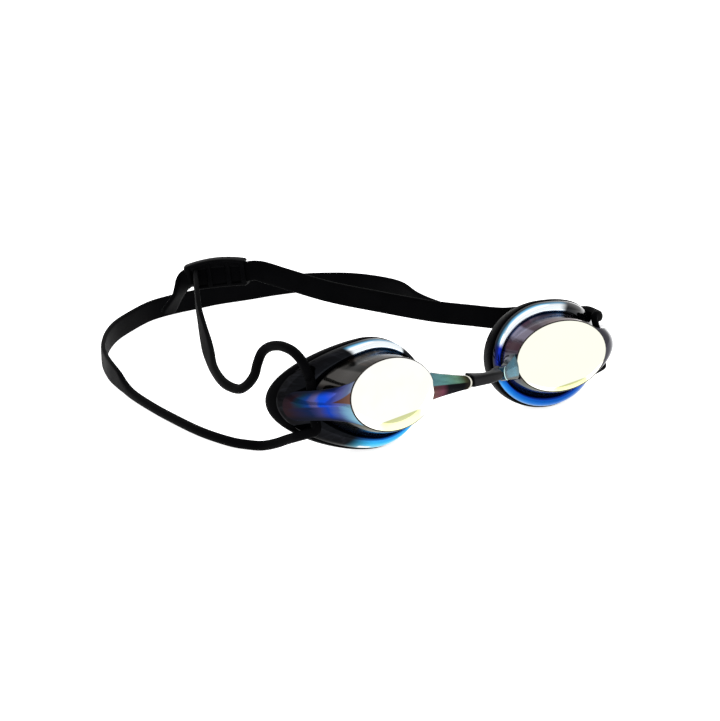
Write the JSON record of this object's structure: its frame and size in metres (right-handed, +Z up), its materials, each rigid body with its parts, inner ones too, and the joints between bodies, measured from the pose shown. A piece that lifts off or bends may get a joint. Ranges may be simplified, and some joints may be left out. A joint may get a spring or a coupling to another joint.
{
  "type": "swim goggles",
  "caption": "Swim goggles: two mirrored one-piece lenses on a flexible nose bridge, soft eye gaskets and a looped silicone strap held by a sliding back clip.",
  "frame": {"origin": "on the resting surface, under the middle of the whole object's bounds", "axes": "+X towards the wearer's left, +Y towards the back of the head, +Z up"},
  "size_m": [0.1554, 0.1838, 0.0372],
  "materials": {
    "lens": "mirrored blue coating on clear polycarbonate",
    "gasket": "soft matte silicone",
    "strap": "matte silicone",
    "bridge": "smooth soft plastic",
    "clip": "glossy moulded plastic"
  },
  "bodies": {
    "strap_and_bridge": {"nose_bridge": "bridge", "strap_lower_band": "strap", "strap_lower_cord_right": "strap", "strap_lower_cord_left": "strap", "strap_upper_band": "strap", "strap_upper_cord_left": "strap", "strap_slack_cord": "strap", "strap_slack_band": "strap"},
    "right_cup": {"lens_right": "lens", "gasket_right": "gasket", "strap_slot_loop_right": "strap"},
    "left_cup": {"lens_left": "lens", "gasket_left": "gasket", "strap_slot_loop_left": "strap"},
    "clip": {"back_clip": "clip"}
  },
  "joints": [
    {"name": "right_cup_flex", "type": "hinge", "parent": "strap_and_bridge", "child": "right_cup", "pos_m": [-0.008, -0.0889, 0.02075], "axis": [0, 0, 1], "range_deg": [-6, 6], "stiffness_Nm_per_rad": 0.02, "deforming": ["strap_lower_cord_right", "strap_slack_cord"]},
    {"name": "left_cup_flex", "type": "hinge", "parent": "strap_and_bridge", "child": "left_cup", "pos_m": [0.0094, -0.0889, 0.02075], "axis": [0, 0, 1], "range_deg": [-6, 6], "stiffness_Nm_per_rad": 0.02, "deforming": ["strap_lower_cord_left", "strap_upper_cord_left"]},
    {"name": "clip_slide", "type": "slide", "parent": "strap_and_bridge", "child": "clip", "axis": [0.8038, -0.584, 0.1132], "range_m": [0, 0.003], "deforming": ["strap_slack_band"]}
  ]
}
